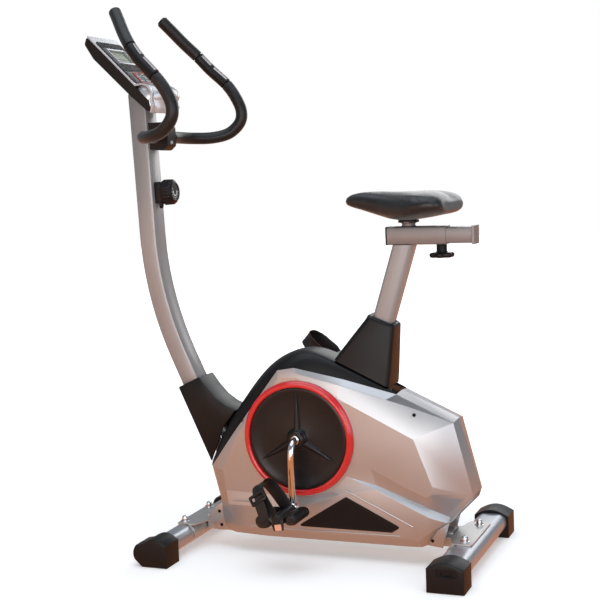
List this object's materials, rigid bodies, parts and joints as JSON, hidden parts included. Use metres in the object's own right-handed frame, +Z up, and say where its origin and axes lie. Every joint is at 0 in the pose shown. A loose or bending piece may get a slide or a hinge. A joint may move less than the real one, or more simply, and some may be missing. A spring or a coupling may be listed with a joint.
{
  "type": "upright exercise bike",
  "caption": "Upright magnetic exercise bike: silver covers with red-ringed crank discs, curved handlebars, tilted console and an adjustable saddle.",
  "frame": {"origin": "on the floor, at the middle of the bike's overall length and width", "axes": "+Z up, -Y towards the handlebar and console (the way the rider faces), +X to the rider's left"},
  "size_m": [0.53, 1.003, 1.3662],
  "materials": {
    "silver_powder_coat": "satin metallic powder coat",
    "black_powder_coat": "satin",
    "silver_painted_abs": "satin metallic paint",
    "black_abs": "fine grain",
    "red_abs": "gloss",
    "chrome": "polished",
    "bright_steel": "brushed",
    "turned_iron": "turned",
    "black_foam": "closed-cell foam",
    "black_vinyl": "soft grained vinyl",
    "black_rubber": "matte",
    "display_lens": "gloss window"
  },
  "bodies": {
    "frame": {"base_frame": "silver_powder_coat", "crank_support": "silver_powder_coat", "front_upright": "silver_powder_coat", "seat_tube": "silver_powder_coat", "front_stabilizer": "silver_powder_coat", "rear_stabilizer": "silver_powder_coat", "rear_foot_left": "black_rubber", "rear_foot_right": "black_rubber", "front_foot_left": "black_rubber", "front_foot_right": "black_rubber", "handlebar_post": "silver_powder_coat", "front_shroud": "black_abs", "housing_left": "silver_painted_abs", "housing_right": "silver_painted_abs", "top_cover": "black_abs", "seat_shroud": "black_abs", "vent_grille_left": "black_abs", "vent_grille_right": "black_abs", "trim_ring_left": "red_abs", "trim_ring_right": "red_abs", "bearing_left": "bright_steel", "bearing_right": "bright_steel", "flywheel_axle": "bright_steel", "drive_belt": "black_rubber", "tension_knob_base": "black_abs", "handlebar_clamp": "black_abs", "console_case": "black_abs", "console_bezel": "silver_painted_abs", "display_window": "display_lens"},
    "crankset": {"crank": "chrome", "drive_pulley": "black_abs", "crank_disc_left": "black_abs", "crank_disc_right": "black_abs"},
    "flywheel_body": {"flywheel": "turned_iron"},
    "brake": {"brake_arm": "bright_steel"},
    "left_pedal": {"pedal_left": "black_rubber", "pedal_strap_left": "black_rubber"},
    "right_pedal": {"pedal_right": "black_rubber", "pedal_strap_right": "black_rubber"},
    "left_wheel": {"transport_wheel_left": "black_rubber"},
    "right_wheel": {"transport_wheel_right": "black_rubber"},
    "post": {"seat_post": "silver_powder_coat", "slider_sleeve": "silver_powder_coat"},
    "saddle": {"slider_rail": "silver_powder_coat", "saddle_pan": "black_abs", "saddle_cushion": "black_vinyl"},
    "clamp_knob": {"star_knob": "black_abs"},
    "pin": {"height_pin": "black_abs"},
    "bars": {"handlebar": "black_powder_coat", "grip_left": "black_foam", "grip_right": "black_foam", "pulse_sensor_left": "bright_steel", "pulse_sensor_right": "bright_steel", "tip_grip_left": "black_foam", "tip_grip_right": "black_foam"},
    "resistance_knob": {"tension_knob": "black_abs"},
    "button_a1": {"console_button_a1": "black_rubber"},
    "button_a2": {"console_button_a2": "black_rubber"},
    "button_b1": {"console_button_b1": "black_rubber"},
    "button_b2": {"console_button_b2": "black_rubber"}
  },
  "joints": [
    {"name": "crank_turn", "type": "hinge", "parent": "frame", "child": "crankset", "pos_m": [0, 0.045, 0.298], "axis": [1, 0, 0], "continuous": true},
    {"name": "flywheel_spin", "type": "hinge", "parent": "frame", "child": "flywheel_body", "pos_m": [0, 0.29, 0.235], "axis": [1, 0, 0], "continuous": true},
    {"name": "left_pedal_spin", "type": "hinge", "parent": "crankset", "child": "left_pedal", "pos_m": [0.196, 0.045, 0.138], "axis": [1, 0, 0], "continuous": true},
    {"name": "right_pedal_spin", "type": "hinge", "parent": "crankset", "child": "right_pedal", "pos_m": [-0.196, 0.045, 0.458], "axis": [1, 0, 0], "continuous": true},
    {"name": "left_wheel_roll", "type": "hinge", "parent": "frame", "child": "left_wheel", "pos_m": [0.246, -0.306, 0.033], "axis": [1, 0, 0], "continuous": true},
    {"name": "right_wheel_roll", "type": "hinge", "parent": "frame", "child": "right_wheel", "pos_m": [-0.246, -0.306, 0.033], "axis": [1, 0, 0], "continuous": true},
    {"name": "seat_height", "type": "slide", "parent": "frame", "child": "post", "axis": [0, 0.3007, 0.9537], "range_m": [-0.14, 0.1]},
    {"name": "saddle_slide", "type": "slide", "parent": "post", "child": "saddle", "axis": [0, 1, 0], "range_m": [-0.02, 0.05]},
    {"name": "clamp_knob_turn", "type": "hinge", "parent": "post", "child": "clamp_knob", "pos_m": [0, 0.397, 0.7655], "axis": [0, 0, 1], "range_deg": [-180, 180]},
    {"name": "pin_pull", "type": "slide", "parent": "frame", "child": "pin", "axis": [-1, 0, 0], "range_m": [0, 0.012], "stiffness_N_per_m": 600},
    {"name": "handlebar_tilt", "type": "hinge", "parent": "frame", "child": "bars", "pos_m": [0, -0.331, 1.048], "axis": [1, 0, 0], "range_deg": [-8, 8]},
    {"name": "resistance_turn", "type": "hinge", "parent": "frame", "child": "resistance_knob", "pos_m": [0, -0.33529, 0.90764], "axis": [0, 0.9994, 0.0349], "range_deg": [0, 300]},
    {"name": "brake_lift", "type": "hinge", "parent": "frame", "child": "brake", "pos_m": [0, 0.24862, 0.3487], "axis": [1, 0, 0], "range_deg": [0, 8]},
    {"name": "button_a1_press", "type": "slide", "parent": "frame", "child": "button_a1", "axis": [0, -0.7071, -0.7071], "range_m": [0, 0.0015], "stiffness_N_per_m": 300},
    {"name": "button_a2_press", "type": "slide", "parent": "frame", "child": "button_a2", "axis": [0, -0.7071, -0.7071], "range_m": [0, 0.0015], "stiffness_N_per_m": 300},
    {"name": "button_b1_press", "type": "slide", "parent": "frame", "child": "button_b1", "axis": [0, -0.7071, -0.7071], "range_m": [0, 0.0015], "stiffness_N_per_m": 300},
    {"name": "button_b2_press", "type": "slide", "parent": "frame", "child": "button_b2", "axis": [0, -0.7071, -0.7071], "range_m": [0, 0.0015], "stiffness_N_per_m": 300}
  ],
  "couplings": [
    {"joint": "flywheel_spin", "follows": "crank_turn", "ratio": 7},
    {"joint": "brake_lift", "follows": "resistance_turn", "ratio": 0.026667}
  ]
}
